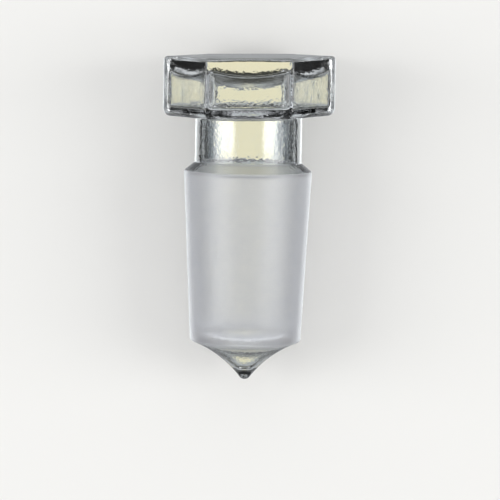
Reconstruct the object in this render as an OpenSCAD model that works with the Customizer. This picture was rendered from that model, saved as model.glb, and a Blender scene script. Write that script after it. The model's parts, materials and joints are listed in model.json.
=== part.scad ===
// Hollow laboratory stopper, blown in one piece from borosilicate glass.
// A clear hexagonal head and a clear neck sit on a ground cone with the standard 1:10 taper.
// The foot is drawn down and sealed into a drip tip, so the air space inside has no opening.
// The stopper is built upright, tip down, and is then laid on its side as it comes to rest:
// on the neck-side edge of one head flat and on the rim at the foot of the cone.

/* [Ground cone] */
// Diameter of the ground cone at its large end
cone_d = 18.8; // [14:0.1:24]
// Length of the ground cone along the axis
cone_length = 25; // [18:0.5:32]
// Length along the axis over which the diameter grows by one
taper_ratio = 10; // [8:1:16]
// Wall thickness in the ground cone
cone_wall = 1.2; // [0.8:0.1:1.8]
// Rounding of the rim at the foot of the cone
rim_r = 0.5; // [0.2:0.1:0.8]

/* [Drip tip] */
// Drop from the rim of the cone to the end of the tip
tip_drop = 5.8; // [5:0.1:8]
// Radius of the hollow sweep from the rim down to the tip
tip_sweep_r = 17; // [12:1:40]
// Rounding of the sealed end
tip_r = 0.9; // [0.5:0.1:1.1]
// Thickness of the glass below the air space
tip_solid = 1.9; // [1.7:0.1:3]
// Rounding at the bottom of the air space
cavity_end_r = 1.8; // [0.8:0.1:2.4]
// Height above the rim at which the air space starts to narrow towards the tip
foot_rise = 1.4; // [1:0.1:3]
// Rounding of the air space where it starts to narrow
foot_r = 3; // [1:0.5:6]

/* [Neck] */
// How far the neck stands in from the large end of the cone
shoulder_step = 1.6; // [0.8:0.1:2.5]
// Height of the sloping shoulder between the cone and the neck
shoulder_height = 1.3; // [1:0.1:3]
// Rounding of the shoulder's edges
shoulder_r = 0.4; // [0.1:0.1:0.8]
// Length of the straight neck
neck_length = 6.8; // [4:0.1:12]
// Wall thickness in the neck
neck_wall = 0.95; // [0.7:0.05:1.5]
// Fillet where the neck runs into the head
neck_fillet = 0.4; // [0.1:0.1:0.8]

/* [Head] */
// How far each flat of the hexagonal head stands out beyond the large end of the cone
head_overhang = 1.6; // [1.2:0.1:4]
// Height of the head
head_height = 8.8; // [8:0.1:13]
// Rounding of the head's upright edges
corner_r = 0.8; // [0.7:0.1:1.5]
// Rounding of the head's top edges
edge_r = 0.6; // [0.3:0.1:0.7]
// Rounding of the head's bottom edges
base_r = 1.2; // [0.3:0.1:1.2]
// Wall thickness behind the head's flats
head_wall = 1.2; // [0.8:0.1:1.6]
// Thickness of the head's floor round the neck
head_floor = 1.3; // [0.8:0.1:2]
// Rounding of the bore's mouth in the head's floor
mouth_r = 0.5; // [0.2:0.1:0.8]

/* [Crown] */
// Least thickness of the crown, kept where its sagged underside would leave less
crown_least = 1.2; // [1:0.1:2.4]
// Thickness of the crown on the axis, where the soft glass has sagged
crown_centre = 4.9; // [3:0.1:5.4]
// Radius of the sagged underside of the crown
crown_r = 21.5; // [16:0.5:40]
// How far in from sharp corners the round of the air space's upright edges lies in the head
cavity_corner_cut = 0.25; // [0.1:0.05:0.6]
// Rounding of the air space's level edges in the head
cavity_edge_r = 0.5; // [0.3:0.1:0.7]

/* [Hidden] */
$fn = 128;
arc_steps = 8;
flats = 6;
// How far the turned shapes and the head run into each other
overlap = 0.1;
clear_glass = [0.84, 0.90, 0.90, 0.6];

// Heights above the end of the tip
cone_foot = tip_drop;
cone_top = cone_foot + cone_length;
neck_foot = cone_top + shoulder_height;
head_foot = neck_foot + neck_length;
head_top = head_foot + head_height;
cavity_floor = head_foot + head_floor;
cavity_top = head_top - crown_least;
cavity_height = cavity_top - cavity_floor;
cavity_middle = cavity_floor + cavity_height / 2;

// Widths and radii
head_flats = cone_d + 2 * head_overhang;
cavity_flats = head_flats - 2 * head_wall;
cavity_corner = cavity_flats / 2 / cos(180 / flats) - cavity_corner_cut;
cone_radius = cone_d / 2;
neck_radius = cone_radius - shoulder_step;
bore_radius = neck_radius - neck_wall;
collar_radius = neck_radius + neck_fillet + overlap;
mouth_radius = bore_radius + mouth_r + overlap;

// The tip and the end of the air space are cut flat at half their rounding, before they are rounded
tip_flat = tip_r / 2;
cavity_flat = cavity_end_r / 2;

// The corners of the air space sit lower than the shoulder's, which keeps the wall even there
shoulder_turn = atan2(shoulder_step, shoulder_height);
bore_foot = neck_foot - neck_wall * tan(shoulder_turn / 2);
cavity_shoulder = cone_top - cone_wall * tan(shoulder_turn / 2);
cavity_foot = cone_foot + foot_rise;

function outer_radius(height) = cone_radius - (cone_top - height) / taper_ratio / 2;
function inner_radius(height) = outer_radius(height) - cone_wall;

// Outlines are lists of vertices, each [radius, height, rounding]
function spot(v) = [v[0], v[1]];
function unit(v) = v / norm(v);

// A rounding takes at most half of a side that it shares with another rounding
function room(v, w) = norm(spot(w) - spot(v)) * (w[2] > 0 ? 0.5 : 1);

// The rounding of vertex v between its neighbours, as [centre, radius, start, turn]
function rounding(before, v, after) =
    let (
        back = unit(spot(before) - spot(v)),
        ahead = unit(spot(after) - spot(v)),
        half = acos(back * ahead) / 2,
        reach = min(v[2] / tan(half), room(v, before), room(v, after)),
        r = reach * tan(half),
        centre = spot(v) + unit(back + ahead) * r / sin(half),
        from = spot(v) + back * reach - centre,
        to = spot(v) + ahead * reach - centre,
        start = atan2(from[1], from[0]),
        turn = atan2(to[1], to[0]) - start
    )
    [centre, r, start, turn - 360 * round(turn / 360)];

function arc_points(arc) =
    [
        for (i = [0:arc_steps])
            let (angle = arc[2] + arc[3] * i / arc_steps)
            arc[0] + arc[1] * [cos(angle), sin(angle)]
    ];

function outline(path) =
    [
        for (i = [0:len(path) - 1])
            each path[i][2] > 0
                ? arc_points(rounding(path[i - 1], path[i], path[i + 1]))
                : [spot(path[i])]
    ];

// Vertices between p and q on an arc of radius r that bows to the left of the way from p to q
function sweep(p, q, r) =
    let (
        along = unit(q - p),
        left = [-along[1], along[0]],
        half = asin(norm(q - p) / 2 / r),
        centre = (p + q) / 2 - left * r * cos(half)
    )
    [
        for (i = [1:arc_steps - 1])
            let (angle = half * (1 - 2 * i / arc_steps))
            concat(centre + r * (left * cos(angle) - along * sin(angle)), 0)
    ];

outer_path = concat(
    [[0, 0, 0], [tip_flat, 0, tip_r]],
    sweep([tip_flat, 0], [outer_radius(cone_foot), cone_foot], tip_sweep_r),
    [
        [outer_radius(cone_foot), cone_foot, rim_r],
        [cone_radius, cone_top, shoulder_r],
        [neck_radius, neck_foot, shoulder_r],
        [neck_radius, head_foot, neck_fillet],
        [collar_radius, head_foot, 0],
        [collar_radius, cavity_floor, 0],
        [0, cavity_floor, 0]
    ]
);

air_path = [
    [0, tip_solid, 0],
    [cavity_flat, tip_solid, cavity_end_r],
    [inner_radius(cavity_foot), cavity_foot, foot_r],
    [inner_radius(cavity_shoulder), cavity_shoulder, shoulder_r],
    [bore_radius, bore_foot, shoulder_r],
    [bore_radius, cavity_floor, mouth_r],
    [mouth_radius, cavity_floor, 0],
    [mouth_radius, cavity_middle, 0],
    [0, cavity_middle, 0]
];

// At rest the table touches two roundings: the foot rim's and the head's bottom edge's
tip_vertex = 1;
rim_vertex = arc_steps + 1;
tip_arc = rounding(outer_path[tip_vertex - 1], outer_path[tip_vertex], outer_path[tip_vertex + 1]);
rim_arc = rounding(outer_path[rim_vertex - 1], outer_path[rim_vertex], outer_path[rim_vertex + 1]);
base_edge = [head_flats / 2 - base_r, head_foot + base_r];
span = base_edge - rim_arc[0];
rest_tilt = atan2(span[0], span[1]) + asin((base_r - rim_arc[1]) / norm(span));
rest_lift = rim_arc[0][0] * cos(rest_tilt) - rim_arc[0][1] * sin(rest_tilt) + rim_arc[1];

// Ends of the stopper along the table, which the frame's origin lies halfway between
top_edge = [head_flats / 2 - edge_r, head_top - edge_r];
head_end = top_edge[1] * cos(rest_tilt) + top_edge[0] * sin(rest_tilt) + edge_r;
tip_end = tip_arc[0][1] * cos(rest_tilt) - tip_arc[0][0] * sin(rest_tilt) - tip_arc[1];

// Rectangle with its lower corners rounded by low_r and its upper ones by high_r
module soft_rectangle(width, height, low_r, high_r) {
    translate([-width / 2, low_r])
        square([width, height - low_r - high_r]);
    translate([low_r - width / 2, 0])
        square([width - 2 * low_r, 2 * low_r]);
    translate([high_r - width / 2, height - 2 * high_r])
        square([width - 2 * high_r, 2 * high_r]);
    for (side = [-1, 1]) {
        translate([side * (width / 2 - low_r), low_r])
            circle(r = low_r);
        translate([side * (width / 2 - high_r), height - high_r])
            circle(r = high_r);
    }
}

module soft_hexagon(width, r) {
    side = (width - 2 * r) * tan(180 / flats);
    for (i = [0:flats / 2 - 1])
        rotate((i + 0.5) * 360 / flats)
            square([width, side], center = true);
    for (i = [0:flats - 1])
        rotate(i * 360 / flats)
            translate([side, 0])
                circle(r = r);
}

// Hexagonal block with rounded level edges, standing on the origin with two flats facing along Y
module hexagonal_block(width, height, low_r, high_r) {
    intersection_for(i = [0:flats / 2 - 1])
        rotate(i * 360 / flats)
            soft_slab(width, height, low_r, high_r);
}

// Slab between two facing flats, which carries the rounding of their top and bottom edges
module soft_slab(width, height, low_r, high_r) {
    rotate([90, 0, 90])
        linear_extrude(2 * width, center = true)
            soft_rectangle(width, height, low_r, high_r);
}

module outside() {
    rotate_extrude()
        polygon(outline(outer_path));
    translate([0, 0, head_foot])
        intersection() {
            linear_extrude(head_height)
                soft_hexagon(head_flats, corner_r);
            hexagonal_block(head_flats, head_height, base_r, edge_r);
        }
}

module air_space() {
    difference() {
        union() {
            rotate_extrude()
                polygon(outline(air_path));
            translate([0, 0, cavity_floor])
                intersection() {
                    cylinder(h = cavity_height, r = cavity_corner);
                    hexagonal_block(cavity_flats, cavity_height, cavity_edge_r, cavity_edge_r);
                }
        }
        translate([0, 0, head_top - crown_centre + crown_r])
            sphere(crown_r);
    }
}

module stopper() {
    color(clear_glass)
        translate([0, -(head_end + tip_end) / 2, rest_lift])
            rotate([rest_tilt - 90, 0, 0])
                difference() {
                    outside();
                    air_space();
                }
}

stopper();
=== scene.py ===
import json
import math

import bpy
import numpy as np
from mathutils import Matrix, Vector, noise


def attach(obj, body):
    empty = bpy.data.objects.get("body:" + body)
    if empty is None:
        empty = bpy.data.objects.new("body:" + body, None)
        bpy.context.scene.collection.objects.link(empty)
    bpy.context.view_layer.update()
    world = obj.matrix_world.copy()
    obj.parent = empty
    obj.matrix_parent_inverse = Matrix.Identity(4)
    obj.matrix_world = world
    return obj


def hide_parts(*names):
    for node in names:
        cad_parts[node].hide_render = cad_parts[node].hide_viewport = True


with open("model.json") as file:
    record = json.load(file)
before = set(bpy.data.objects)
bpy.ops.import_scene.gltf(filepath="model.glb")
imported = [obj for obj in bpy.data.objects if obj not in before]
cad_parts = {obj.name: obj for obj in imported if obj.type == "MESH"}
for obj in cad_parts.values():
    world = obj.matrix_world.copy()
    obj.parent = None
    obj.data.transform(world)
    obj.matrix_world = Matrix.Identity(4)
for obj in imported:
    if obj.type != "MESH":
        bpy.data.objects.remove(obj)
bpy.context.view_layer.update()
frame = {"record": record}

# ---------------------------------------------------------------- driving sizes, in metres
MM = 0.001
CONE_D = 18.8 * MM
CONE_LENGTH = 25.0 * MM
TAPER_RATIO = 10
CONE_WALL = 1.2 * MM
RIM_R = 0.5 * MM
TIP_DROP = 5.8 * MM
TIP_SWEEP_R = 17.0 * MM
TIP_R = 0.9 * MM
TIP_SOLID = 1.9 * MM
CAVITY_END_R = 1.8 * MM
FOOT_RISE = 1.4 * MM
FOOT_R = 3.0 * MM
SHOULDER_STEP = 1.6 * MM
SHOULDER_HEIGHT = 1.3 * MM
SHOULDER_R = 0.4 * MM
NECK_LENGTH = 6.8 * MM
NECK_WALL = 0.95 * MM
NECK_FILLET = 0.4 * MM
HEAD_OVERHANG = 1.6 * MM
HEAD_HEIGHT = 8.8 * MM
CORNER_R = 0.8 * MM
EDGE_R = 0.6 * MM
BASE_R = 1.2 * MM
HEAD_WALL = 1.2 * MM
HEAD_FLOOR = 1.3 * MM
MOUTH_R = 0.5 * MM
CROWN_CENTRE = 4.9 * MM
CROWN_R = 21.5 * MM
CROWN_EDGE_R = 0.6 * MM
CAVITY_CORNER_R = 1.7 * MM
CAVITY_EDGE_R = 0.5 * MM

# Heights above the end of the tip, with the stopper upright
cone_foot = TIP_DROP
cone_top = cone_foot + CONE_LENGTH
neck_foot = cone_top + SHOULDER_HEIGHT
head_foot = neck_foot + NECK_LENGTH
head_top = head_foot + HEAD_HEIGHT
cavity_floor = head_foot + HEAD_FLOOR
cavity_foot = cone_foot + FOOT_RISE

# Widths and radii
cone_radius = CONE_D / 2
neck_radius = cone_radius - SHOULDER_STEP
bore_radius = neck_radius - NECK_WALL
head_half = cone_radius + HEAD_OVERHANG
cavity_half = head_half - HEAD_WALL
shoulder_turn = math.atan2(SHOULDER_STEP, SHOULDER_HEIGHT)
bore_foot = neck_foot - NECK_WALL * math.tan(shoulder_turn / 2)
cavity_shoulder = cone_top - CONE_WALL * math.tan(shoulder_turn / 2)


def outer_radius(height):
    return cone_radius - (cone_top - height) / TAPER_RATIO / 2


def inner_radius(height):
    return outer_radius(height) - CONE_WALL


# ---------------------------------------------------------------- outlines of revolution
ARC_STEP = math.radians(9)
LEAST_ARC_STEPS = 2
SWEEP_STEPS = 8
LONGEST_SIDE = 0.9 * MM
TINY = 1e-9


def unit(v):
    return v / np.linalg.norm(v)


def rounding(before, corner, after, radius):
    """Points on the arc that rounds a corner of an outline."""
    back, ahead = unit(before - corner), unit(after - corner)
    half = math.acos(float(back @ ahead)) / 2
    reach = radius / math.tan(half)
    centre = corner + unit(back + ahead) * radius / math.sin(half)
    first, last = corner + back * reach - centre, corner + ahead * reach - centre
    start = math.atan2(first[1], first[0])
    turn = (math.atan2(last[1], last[0]) - start + math.pi) % (2 * math.pi) - math.pi
    steps = max(LEAST_ARC_STEPS, math.ceil(abs(turn) / ARC_STEP))
    angles = start + turn * np.linspace(0, 1, steps + 1)
    return [centre + radius * np.array((math.cos(a), math.sin(a))) for a in angles]


def sweep(p, q, radius):
    """Vertices between p and q on an arc that bows to the left of the way from p to q."""
    p, q = np.array(p), np.array(q)
    along = unit(q - p)
    left = np.array((-along[1], along[0]))
    half = math.asin(np.linalg.norm(q - p) / 2 / radius)
    centre = (p + q) / 2 - left * radius * math.cos(half)
    angles = half * (1 - 2 * np.arange(1, SWEEP_STEPS) / SWEEP_STEPS)
    return [(*(centre + radius * (left * math.cos(a) - along * math.sin(a))), 0) for a in angles]


def outline(path):
    """Turns vertices (radius, height, rounding) into points no further apart than LONGEST_SIDE."""
    spots = [np.array(v[:2]) for v in path]
    points = []
    for i, vertex in enumerate(path):
        if vertex[2] > 0:
            points += rounding(spots[i - 1], spots[i], spots[i + 1], vertex[2])
        else:
            points.append(spots[i])
    dense = [points[0]]
    for p, q in zip(points, points[1:]):
        count = math.ceil(np.linalg.norm(q - p) / LONGEST_SIDE - TINY)
        dense += [p + (q - p) * k / count for k in range(1, count + 1)] if count else []
    return dense


outer_path = [
    (0, 0, 0),
    (TIP_R / 2, 0, TIP_R),
    *sweep((TIP_R / 2, 0), (outer_radius(cone_foot), cone_foot), TIP_SWEEP_R),
    (outer_radius(cone_foot), cone_foot, RIM_R),
    (cone_radius, cone_top, SHOULDER_R),
    (neck_radius, neck_foot, SHOULDER_R),
    (neck_radius, head_foot, NECK_FILLET),
    (neck_radius + NECK_FILLET, head_foot, 0),
]
air_path = [
    (0, TIP_SOLID, 0),
    (CAVITY_END_R / 2, TIP_SOLID, CAVITY_END_R),
    (inner_radius(cavity_foot), cavity_foot, FOOT_R),
    (inner_radius(cavity_shoulder), cavity_shoulder, SHOULDER_R),
    (bore_radius, bore_foot, SHOULDER_R),
    (bore_radius, cavity_floor, MOUTH_R),
    (bore_radius + MOUTH_R, cavity_floor, 0),
]

# ---------------------------------------------------------------- rings round the axis
FLATS = 6
FLAT_STEPS = 28
CORNER_STEPS = 12
EDGE_STEPS = 6
LEVEL_STEPS = 6
HEAD_SIDE_STEPS = 15
HEAD_TOP_STEPS = 14
CAVITY_SIDE_STEPS = 10
CROWN_STEPS = 24
LEAST_CORNER = 0.2 * MM


def stations():
    """For each point of a ring: its place on a unit hexagon, its normal, and its bearing."""
    places, normals = [], []
    for k in range(FLATS):
        corner = 2 * math.pi * k / FLATS
        here = np.array((math.cos(corner), math.sin(corner)))
        following = corner + 2 * math.pi / FLATS
        there = np.array((math.cos(following), math.sin(following)))
        for i in range(CORNER_STEPS):
            a = corner + math.pi / FLATS * (2 * i / CORNER_STEPS - 1)
            places.append(here)
            normals.append((math.cos(a), math.sin(a)))
        for i in range(FLAT_STEPS):
            a = corner + math.pi / FLATS
            places.append(here + (there - here) * i / FLAT_STEPS)
            normals.append((math.cos(a), math.sin(a)))
    places, normals = np.array(places), np.array(normals)
    rim = places * head_half + normals * CORNER_R
    return places, normals, np.arctan2(rim[:, 1], rim[:, 0])


PLACES, NORMALS, BEARINGS = stations()


def hexagon(half, radius):
    """Rounded hexagon of that half width across its flats."""
    return PLACES * (half - radius) / math.cos(math.pi / FLATS) + NORMALS * radius


def circle(radius):
    return radius * np.stack((np.cos(BEARINGS), np.sin(BEARINGS)), axis=1)


def lift(ring, height):
    """The ring's points at that height, or each at its own."""
    return np.column_stack((ring, np.broadcast_to(height, len(ring))))


def shares(count):
    """Even shares of a way, from the first step to the whole."""
    return [i / count for i in range(1, count + 1)]


def rounded_edge(half, corner, radius, height, rising):
    """Rings over a rounded level edge: in from below if rising, out over the top if not."""
    rings = []
    for t in shares(EDGE_STEPS):
        a = (t if rising else 1 - t) * math.pi / 2
        inset = radius * (1 - math.sin(a))
        level = radius * (1 - math.cos(a)) * (1 if rising else -1)
        rings.append(lift(hexagon(half - inset, max(corner - inset, LEAST_CORNER)), height + level))
    return rings


def outer_rings():
    rings = [lift(circle(r), z) for r, z in outline(outer_path)]
    inner_edge = circle(neck_radius + NECK_FILLET)
    base = hexagon(head_half - BASE_R, LEAST_CORNER)
    rings += [lift(inner_edge + (base - inner_edge) * t, head_foot) for t in shares(LEVEL_STEPS)]
    rings += rounded_edge(head_half, CORNER_R, BASE_R, head_foot, True)
    side = hexagon(head_half, CORNER_R)
    span = HEAD_HEIGHT - BASE_R - EDGE_R
    rings += [lift(side, head_foot + BASE_R + span * t) for t in shares(HEAD_SIDE_STEPS)]
    rings += rounded_edge(head_half, CORNER_R, EDGE_R, head_top, False)
    top = hexagon(head_half - EDGE_R, LEAST_CORNER)
    rings += [lift(top * (1 - t), head_top) for t in shares(HEAD_TOP_STEPS)]
    return rings


def crown(ring):
    """Height of the crown's sagged underside over the points of a ring."""
    reach = np.hypot(ring[:, 0], ring[:, 1])
    return head_top - CROWN_CENTRE + CROWN_R - np.sqrt(CROWN_R**2 - reach**2)


def inner_rings():
    rings = [lift(circle(r), z) for r, z in outline(air_path)]
    mouth = circle(bore_radius + MOUTH_R)
    base = hexagon(cavity_half - CAVITY_EDGE_R, CAVITY_CORNER_R - CAVITY_EDGE_R)
    rings += [lift(mouth + (base - mouth) * t, cavity_floor) for t in shares(LEVEL_STEPS)]
    rings += rounded_edge(cavity_half, CAVITY_CORNER_R, CAVITY_EDGE_R, cavity_floor, True)
    side = hexagon(cavity_half, CAVITY_CORNER_R)
    foot, top = cavity_floor + CAVITY_EDGE_R, crown(side) - CROWN_EDGE_R
    rings += [lift(side, foot + (top - foot) * t) for t in shares(CAVITY_SIDE_STEPS)]
    rings += rounded_edge(cavity_half, CAVITY_CORNER_R, CROWN_EDGE_R, crown(side), False)
    ceiling = hexagon(cavity_half - CROWN_EDGE_R, CAVITY_CORNER_R - CROWN_EDGE_R)
    rings += [lift(ceiling * (1 - t), crown(ceiling * (1 - t))) for t in shares(CROWN_STEPS)]
    return rings


# ---------------------------------------------------------------- glass surfaces
# The frame's head_top mount says where the upright stopper's axis lies at rest
head_mount = next(m for m in frame["record"]["mounts"] if m["name"] == "head_top")
along = Vector(head_mount["axis"]).normalized()
across = Vector((1, 0, 0))
down = along.cross(across)
tip_end = Vector(head_mount["pos_m"]) - along * head_top
UPRIGHT_TO_ROW = Matrix((across, down, along)).transposed().to_4x4()
UPRIGHT_TO_ROW.translation = tip_end


def grid_normals(points):
    """Normals of a grid of rings, pointing away from the axis."""
    round_way = np.roll(points, -1, axis=1) - np.roll(points, 1, axis=1)
    up_way = np.gradient(points, axis=0)
    normal = np.cross(round_way, up_way)
    length = np.linalg.norm(normal, axis=2, keepdims=True)
    return normal / np.where(length > 0, length, 1)


SEED_SHIFT = (1, 2.7, 5.1)


def ripple(points, size, stretch, seed):
    """Smooth noise about zero with features of that size, drawn out along the axis by stretch."""
    shift = Vector([seed * share for share in SEED_SHIFT])
    flat = points.reshape(-1, 3) / (size, size, size * stretch)
    return np.array([noise.noise(Vector(p) + shift) for p in flat]).reshape(points.shape[:2])


def fade(heights, low, high):
    """0 below low, 1 above high and smooth between."""
    t = np.clip((heights - low) / (high - low), 0, 1)
    return t * t * (3 - 2 * t)


def wavy(rings, ripples):
    """Moves the rings' points along their normals by ripples.

    Each ripple is (size, stretch, seed, depth), where depth works on an array of heights.
    """
    points = np.array(rings)
    heights = points[:, :, 2]
    shift = sum(
        ripple(points, size, stretch, seed) * depth(heights)
        for size, stretch, seed, depth in ripples
    )
    moved = points + grid_normals(points) * shift[:, :, None]
    for pole in (0, -1):
        moved[pole] = moved[pole].mean(axis=0)
    return moved


def add_skin(rings, inward, vertices, faces, material):
    """Joins rings from one pole to the other; inward turns the faces towards the axis."""
    points = np.array(rings)
    first = len(vertices)
    count, around = points.shape[:2]
    vertices += [tuple(p) for p in points[1:-1].reshape(-1, 3)]
    low, high = len(vertices), len(vertices) + 1
    vertices += [tuple(points[0].mean(axis=0)), tuple(points[-1].mean(axis=0))]

    def at(i, j):
        return first + (i - 1) * around + j % around

    for j in range(around):
        ends = [(low, at(1, j + 1), at(1, j)), (at(count - 2, j), at(count - 2, j + 1), high)]
        for face, row in zip(ends, (0, count - 2)):
            faces.append((face[::-1] if inward else face, material(points, row)))
    for i in range(1, count - 2):
        for j in range(around):
            face = (at(i, j), at(i, j + 1), at(i + 1, j + 1), at(i + 1, j))
            faces.append((face[::-1] if inward else face, material(points, i)))


OUTER_WAVE = 0.035 * MM
FINE_OUTER_SHARE = 0.25
NECK_FADE = 2 * MM
TIP_FADE = 1.5 * MM
INNER_WAVE = 0.05 * MM
MORE_IN_CROWN = 0.03 * MM
FINE_INNER_WAVE = 0.008 * MM
MORE_IN_HEAD = 0.016 * MM


def outer_depth(heights):
    """The ground cone is true; the fire-polished glass above and below it waves a little."""
    above = fade(heights, cone_top, neck_foot + NECK_FADE)
    below = 1 - fade(heights, cone_foot - TIP_FADE, cone_foot)
    return (above + below) * OUTER_WAVE


def fine_outer_depth(heights):
    return outer_depth(heights) * FINE_OUTER_SHARE


def inner_depth(heights):
    """The blown inside waves more, and most in the crown."""
    return INNER_WAVE + MORE_IN_CROWN * fade(heights, cavity_floor, head_top)


def fine_inner_depth(heights):
    return FINE_INNER_WAVE + MORE_IN_HEAD * fade(heights, neck_foot, cavity_floor)


# Each ripple's size, its stretch along the axis, its seed and its depth
OUTER_RIPPLES = (
    (5 * MM, 1.5, 11, outer_depth),
    (1.6 * MM, 2, 12, fine_outer_depth),
)
INNER_RIPPLES = (
    (4 * MM, 2.5, 13, inner_depth),
    (1.3 * MM, 2, 14, fine_inner_depth),
)

HEAD_SKEW = math.tan(math.radians(1.0))


def settle_head(points):
    """Sets the head a little askew on the neck, as it was blown."""
    share = fade(points[:, :, 2], neck_foot, head_foot)
    points[:, :, 2] += points[:, :, 0] * HEAD_SKEW * share
    return points


CLEAR, GROUND = 0, 1


def outer_material(points, row):
    low, high = points[row][0][2], points[row + 1][0][2]
    return GROUND if cone_foot - RIM_R < low < high < cone_top + SHOULDER_R else CLEAR


def inner_material(points, row):
    return CLEAR


def build_glass():
    outer = settle_head(wavy(outer_rings(), OUTER_RIPPLES))
    inner = settle_head(wavy(inner_rings(), INNER_RIPPLES))
    vertices, faces = [], []
    add_skin(outer, False, vertices, faces, outer_material)
    add_skin(inner, True, vertices, faces, inner_material)
    mesh = bpy.data.meshes.new("stopper_glass")
    mesh.from_pydata(vertices, [], [f for f, _ in faces])
    mesh.polygons.foreach_set("material_index", [m for _, m in faces])
    mesh.polygons.foreach_set("use_smooth", [True] * len(faces))
    mesh.transform(UPRIGHT_TO_ROW)
    mesh.update()
    glass = bpy.data.objects.new("stopper_glass", mesh)
    bpy.context.scene.collection.objects.link(glass)
    return glass


# ---------------------------------------------------------------- node helpers
def calculate(tree, operation, *values):
    """Math node of that operation; each value is a number or another node's output."""
    node = tree.nodes.new("ShaderNodeMath")
    node.operation = operation
    for socket, value in zip(node.inputs, values):
        if isinstance(value, bpy.types.NodeSocket):
            tree.links.new(value, socket)
        else:
            socket.default_value = value
    return node.outputs["Value"]


def ramp(tree, factor, stops):
    """Colour ramp through (position, colour) stops."""
    node = tree.nodes.new("ShaderNodeValToRGB")
    elements = node.color_ramp.elements
    while len(elements) < len(stops):
        elements.new(0.5)
    for element, (position, colour) in zip(elements, stops):
        element.position = position
        element.color = (*colour, 1)
    tree.links.new(factor, node.inputs["Fac"])
    return node.outputs["Color"]


def blend(tree, factor, first, second):
    """First colour where factor is 0, second where it is 1."""
    node = tree.nodes.new("ShaderNodeMix")
    node.data_type = "RGBA"
    for name, value in (("Factor_Float", factor), ("A_Color", first), ("B_Color", second)):
        socket = next(i for i in node.inputs if i.identifier == name)
        if isinstance(value, bpy.types.NodeSocket):
            tree.links.new(value, socket)
        else:
            socket.default_value = value
    return next(o for o in node.outputs if o.identifier == "Result_Color")


def weigh(tree, first, second, first_share):
    """Weighted mean of two values."""
    parts = (
        calculate(tree, "MULTIPLY", value, share)
        for value, share in ((first, first_share), (second, 1 - first_share))
    )
    return calculate(tree, "ADD", *parts)


def spread(tree, factor, low, high):
    """Takes 0 to 1 onto low to high."""
    node = tree.nodes.new("ShaderNodeMapRange")
    node.inputs["To Min"].default_value = low
    node.inputs["To Max"].default_value = high
    tree.links.new(factor, node.inputs["Value"])
    return node.outputs["Result"]


def seen_through_glass(tree):
    """1 for rays that have left the glass by refraction, 0 for all others."""
    return tree.nodes.new("ShaderNodeLightPath").outputs["Is Transmission Ray"]


def seen_by_glass(tree):
    """1 for rays that glass has refracted or reflected, 0 for all others."""
    glossy = tree.nodes.new("ShaderNodeLightPath").outputs["Is Glossy Ray"]
    return calculate(tree, "MAXIMUM", seen_through_glass(tree), glossy)


# ---------------------------------------------------------------- materials
GLASS_IOR = 1.47
CLEAR_COLOUR = (0.97, 0.985, 0.98, 1)
PEEL_SIZE = 0.45 * MM
PEEL_DETAIL = 1.5
PEEL_DEPTH = 0.026 * MM

GROUND_TRANSMISSION = 0.75
GRAIN_SIZE = 0.16 * MM
GRAIN_DETAIL = 3
GRAIN_DEPTH = 0.02 * MM
GRAIN_OVER_RINGS = 0.6
RING_WIDTH = 0.5 * MM
RING_DETAIL = 3
PATCH_SIZE = 2.2 * MM
PATCH_DETAIL = 2
RELIEF_OVER_PATCHES = 0.6
GROUND_TONES = ((0.35, (0.87, 0.88, 0.93)), (0.65, (0.98, 0.98, 1.0)))
GROUND_ROUGHNESS = (0.30, 0.46)

PAPER_COLOUR = (0.80, 0.79, 0.76, 1)
PAPER_ROUGHNESS = 0.9


def new_material(name):
    material = bpy.data.materials.new(name)
    material.use_nodes = True
    tree = material.node_tree
    shader = next(n for n in tree.nodes if n.type == "BSDF_PRINCIPLED")
    return material, tree, shader


def noise_texture(tree, vector, size, detail):
    """Noise between 0 and 1 with features of that size in metres."""
    node = tree.nodes.new("ShaderNodeTexNoise")
    node.inputs["Scale"].default_value = 1 / size
    node.inputs["Detail"].default_value = detail
    tree.links.new(vector, node.inputs["Vector"])
    return node.outputs["Fac"]


def bump(tree, shader, height, distance):
    node = tree.nodes.new("ShaderNodeBump")
    node.inputs["Distance"].default_value = distance
    tree.links.new(height, node.inputs["Height"])
    tree.links.new(node.outputs["Normal"], shader.inputs["Normal"])


def object_place(tree):
    return tree.nodes.new("ShaderNodeTexCoord").outputs["Object"]


def height_on_stopper(tree, place):
    """Height above the end of the tip, along the stopper's axis."""
    dot = tree.nodes.new("ShaderNodeVectorMath")
    dot.operation = "DOT_PRODUCT"
    tree.links.new(place, dot.inputs[0])
    dot.inputs[1].default_value = along
    return calculate(tree, "SUBTRACT", dot.outputs["Value"], tip_end.dot(along))


def clear_glass():
    """Clear glass with the fine orange peel that the flame leaves."""
    material, tree, shader = new_material("clear_glass")
    shader.inputs["Base Color"].default_value = CLEAR_COLOUR
    shader.inputs["Roughness"].default_value = 0
    shader.inputs["IOR"].default_value = GLASS_IOR
    shader.inputs["Transmission Weight"].default_value = 1
    peel = noise_texture(tree, object_place(tree), PEEL_SIZE, PEEL_DETAIL)
    bump(tree, shader, peel, PEEL_DEPTH)
    return material


def grinding_rings(tree, height):
    """Noise that changes along the axis only."""
    node = tree.nodes.new("ShaderNodeTexNoise")
    node.noise_dimensions = "1D"
    node.inputs["Detail"].default_value = RING_DETAIL
    tree.links.new(calculate(tree, "DIVIDE", height, RING_WIDTH), node.inputs["W"])
    return node.outputs["Fac"]


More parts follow.
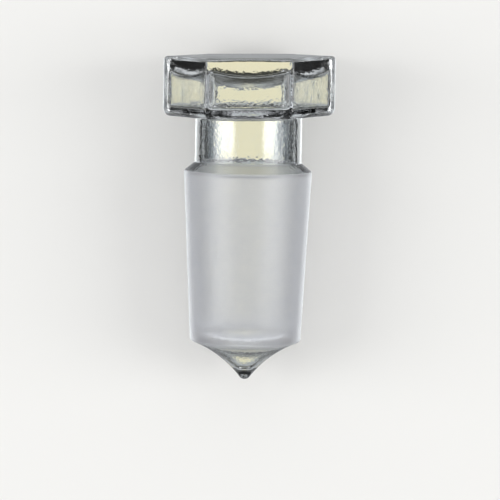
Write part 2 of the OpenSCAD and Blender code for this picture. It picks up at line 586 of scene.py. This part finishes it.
def ground_glass():
    """Glass ground matt: a fine grain with faint rings where the grinding went round."""
    material, tree, shader = new_material("ground_glass")
    shader.inputs["IOR"].default_value = GLASS_IOR
    shader.inputs["Transmission Weight"].default_value = GROUND_TRANSMISSION
    place = object_place(tree)
    grain = noise_texture(tree, place, GRAIN_SIZE, GRAIN_DETAIL)
    patches = noise_texture(tree, place, PATCH_SIZE, PATCH_DETAIL)
    rings = grinding_rings(tree, height_on_stopper(tree, place))
    relief = weigh(tree, grain, rings, GRAIN_OVER_RINGS)
    bump(tree, shader, relief, GRAIN_DEPTH)
    tone = weigh(tree, relief, patches, RELIEF_OVER_PATCHES)
    tree.links.new(ramp(tree, tone, GROUND_TONES), shader.inputs["Base Color"])
    tree.links.new(spread(tree, grain, *GROUND_ROUGHNESS), shader.inputs["Roughness"])
    return material


def paper():
    """Pale paper, which rays inside or off the glass pass through to the light below."""
    material, tree, shader = new_material("pale_paper")
    shader.inputs["Base Color"].default_value = PAPER_COLOUR
    shader.inputs["Roughness"].default_value = PAPER_ROUGHNESS
    nodes, links = tree.nodes, tree.links
    mix = nodes.new("ShaderNodeMixShader")
    links.new(seen_by_glass(tree), mix.inputs["Fac"])
    links.new(shader.outputs["BSDF"], mix.inputs[1])
    links.new(nodes.new("ShaderNodeBsdfTransparent").outputs["BSDF"], mix.inputs[2])
    output = next(n for n in nodes if n.type == "OUTPUT_MATERIAL")
    links.new(mix.outputs["Shader"], output.inputs["Surface"])
    return material


glass = build_glass()
glass.data.materials.append(clear_glass())
glass.data.materials.append(ground_glass())
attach(glass, "root")
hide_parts("stopper")

# ---------------------------------------------------------------- floor, light and camera
FLOOR_SIZE = 0.9
bpy.ops.mesh.primitive_plane_add(size=FLOOR_SIZE, location=(0, 0, 0))
floor = bpy.context.object
floor.name = "floor"
floor.data.materials.append(paper())

# Light that the glass shows by refraction, by its angle in degrees from straight down: first
# across the stopper, then along it, then ahead of the head
SIDE_LIGHT = (
    (0, (0.88, 0.81, 0.56)),
    (3, (0.84, 0.80, 0.62)),
    (5, (0.55, 0.57, 0.58)),
    (6.5, (0.30, 0.33, 0.35)),
    (8.5, (0.22, 0.25, 0.28)),
    (10.5, (0.06, 0.07, 0.08)),
    (13, (0.01, 0.01, 0.01)),
    (45, (0.01, 0.01, 0.01)),
    (47, (0.95, 1.00, 1.06)),
    (54, (0.95, 1.00, 1.06)),
    (57, (0.03, 0.03, 0.03)),
    (61, (0.03, 0.03, 0.03)),
    (64, (0.38, 0.40, 0.42)),
    (80, (0.38, 0.40, 0.42)),
    (88, (0.75, 0.77, 0.80)),
    (95, (0.62, 0.64, 0.67)),
    (150, (0.55, 0.56, 0.58)),
    (180, (0.45, 0.46, 0.48)),
)
END_LIGHT = (
    (0, (0.88, 0.81, 0.56)),
    (6, (0.80, 0.76, 0.56)),
    (9, (0.36, 0.38, 0.38)),
    (14, (0.45, 0.47, 0.49)),
    (30, (0.45, 0.47, 0.49)),
    (36, (0.12, 0.12, 0.11)),
    (54, (0.12, 0.12, 0.11)),
    (60, (0.40, 0.41, 0.41)),
    (64, (0.80, 0.82, 0.85)),
    (88, (0.75, 0.77, 0.80)),
    (95, (0.62, 0.64, 0.67)),
    (150, (0.55, 0.56, 0.58)),
    (180, (0.45, 0.46, 0.48)),
)
HEAD_LIGHT = (
    (0, (0.88, 0.81, 0.56)),
    (6, (0.80, 0.76, 0.56)),
    (9, (0.20, 0.20, 0.18)),
    (20, (0.30, 0.31, 0.30)),
    (30, (0.25, 0.26, 0.25)),
    (34, (0.03, 0.03, 0.02)),
    (95, (0.03, 0.03, 0.02)),
    (150, (0.10, 0.10, 0.10)),
)
# Light that the outside of the glass reflects, first across the stopper, then along it
REFLECTED_LIGHT = (
    (0, (2.30, 2.40, 2.45)),
    (47, (2.30, 2.40, 2.45)),
    (50, (0.02, 0.02, 0.02)),
    (64, (0.02, 0.02, 0.02)),
    (70, (0.22, 0.23, 0.24)),
    (95, (0.22, 0.23, 0.24)),
    (120, (0.15, 0.15, 0.15)),
    (180, (0.05, 0.05, 0.05)),
)
END_REFLECTED = (0.35, 0.36, 0.37, 1)
# Light that everything else sees
PLAIN_LIGHT = (0.75, 0.76, 0.78, 1)
# Where the ends' light takes over from the sides' and the head's from the ends', by the square of
# the sine of a direction's turn about the vertical: 0 is straight across, 1 straight along
END_FROM, END_FULL = 0.20, 0.35
HEAD_FROM, HEAD_FULL = 0.70, 0.85
BLACK, WHITE = (0, 0, 0), (1, 1, 1)
STRAIGHT_UP = 180


def studio():
    """Plain soft light, which the glass sees as pale panels with dark cards between them."""
    world = bpy.data.worlds.new("studio")
    world.use_nodes = True
    tree = world.node_tree
    place = tree.nodes.new("ShaderNodeTexCoord").outputs["Generated"]
    split = tree.nodes.new("ShaderNodeSeparateXYZ")
    tree.links.new(place, split.inputs[0])
    up, along_row = split.outputs["Z"], split.outputs["Y"]
    from_below = calculate(tree, "ARCCOSINE", calculate(tree, "MULTIPLY", up, -1))
    angle = calculate(tree, "DIVIDE", from_below, math.pi)
    level_square = calculate(tree, "SUBTRACT", 1, calculate(tree, "MULTIPLY", up, up))
    along_square = calculate(tree, "MULTIPLY", along_row, along_row)
    endwise = calculate(tree, "DIVIDE", along_square, level_square)
    end_share = ramp(tree, endwise, [(END_FROM, BLACK), (END_FULL, WHITE)])
    ahead = calculate(tree, "MULTIPLY", calculate(tree, "GREATER_THAN", along_row, 0), endwise)
    head_share = ramp(tree, ahead, [(HEAD_FROM, BLACK), (HEAD_FULL, WHITE)])
    side, end, head, reflected = (
        ramp(tree, angle, [(degrees / STRAIGHT_UP, tint) for degrees, tint in light])
        for light in (SIDE_LIGHT, END_LIGHT, HEAD_LIGHT, REFLECTED_LIGHT)
    )
    refracted = blend(tree, head_share, blend(tree, end_share, side, end), head)
    outside = blend(tree, end_share, reflected, END_REFLECTED)
    glass_light = blend(tree, seen_through_glass(tree), outside, refracted)
    colour = blend(tree, seen_by_glass(tree), PLAIN_LIGHT, glass_light)
    tree.links.new(colour, tree.nodes["Background"].inputs["Color"])
    return world


bpy.context.scene.world = studio()

BOX_DISTANCE = 0.45
BOX_FROM_ZENITH = math.radians(57)
BOX_ALONG = 0.2
BOX_ACROSS = 0.38
BOX_POWER = 0.85


def soft_box(side):
    lamp = bpy.data.lights.new("soft_box", "AREA")
    lamp.shape = "RECTANGLE"
    lamp.size, lamp.size_y = BOX_ALONG, BOX_ACROSS
    lamp.energy = BOX_POWER
    box = bpy.data.objects.new("soft_box", lamp)
    reach = Vector((side * math.sin(BOX_FROM_ZENITH), 0, math.cos(BOX_FROM_ZENITH)))
    box.location = middle + reach * BOX_DISTANCE
    box.rotation_euler = (-reach).to_track_quat("-Z", "Y").to_euler()
    bpy.context.scene.collection.objects.link(box)


middle = UPRIGHT_TO_ROW @ Vector((0, 0, head_top / 2))
soft_box(-1)
soft_box(1)

SENSOR_WIDTH = 36
CAMERA_DISTANCE = 0.47
CAMERA_LEAN = math.radians(0.53)
FRAME_WIDTH = 0.0737
AIM_HEIGHT = 19.15 * MM
AIM_SIDE = 0.51 * MM
ROLL = math.radians(1.0)

aim = UPRIGHT_TO_ROW @ Vector((AIM_SIDE, 0, AIM_HEIGHT))
towards_camera = Vector((0, math.sin(CAMERA_LEAN), math.cos(CAMERA_LEAN)))
lens = bpy.data.cameras.new("camera")
camera = bpy.data.objects.new("camera", lens)
lens.sensor_width = SENSOR_WIDTH
lens.lens = SENSOR_WIDTH * CAMERA_DISTANCE / FRAME_WIDTH
camera.location = aim + towards_camera * CAMERA_DISTANCE
turn = Matrix.Rotation(-CAMERA_LEAN, 4, "X") @ Matrix.Rotation(ROLL, 4, "Z")
camera.rotation_euler = turn.to_euler()
bpy.context.scene.collection.objects.link(camera)
bpy.context.scene.camera = camera
bpy.context.scene.view_settings.view_transform = "Standard"
